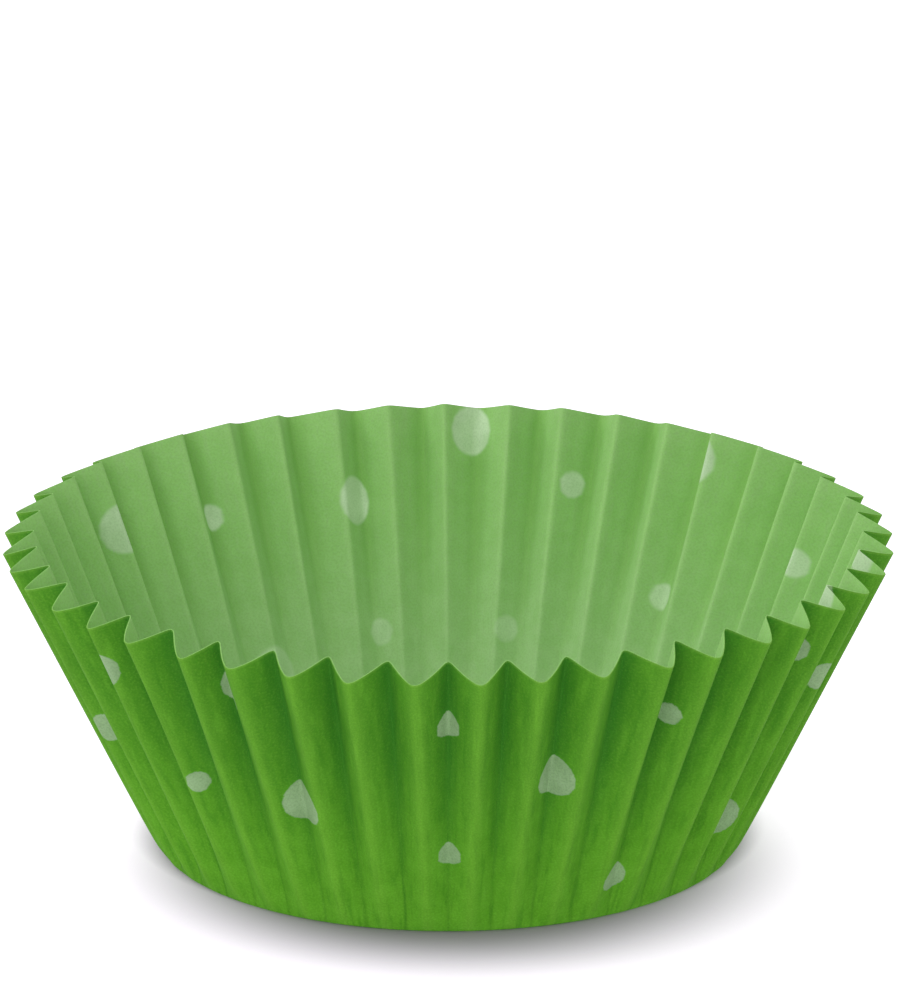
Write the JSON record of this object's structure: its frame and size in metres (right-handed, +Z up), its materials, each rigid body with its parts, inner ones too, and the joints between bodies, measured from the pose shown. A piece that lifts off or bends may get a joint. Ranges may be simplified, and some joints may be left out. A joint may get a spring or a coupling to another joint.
{
  "type": "paper baking cup",
  "caption": "Pleated greaseproof paper cup with a flat round base and a flaring fluted wall; lines a muffin tin hollow and holds the batter as it bakes.",
  "frame": {"origin": "centre of the underside of the flat base, on the surface that the cup stands on", "axes": "+Z up through the open mouth; -Y is the side that faces the viewer; the pleats repeat around Z, with an inner fold on each of the X and Y axes"},
  "size_m": [0.077, 0.077, 0.0281],
  "materials": {
    "greaseproof_paper": "thin matt greaseproof paper, printed leaf green with scattered white dots on the outside, paler on the inside where the print shows through"
  },
  "bodies": {
    "root": {"baking_cup": "greaseproof_paper"}
  },
  "joints": []
}
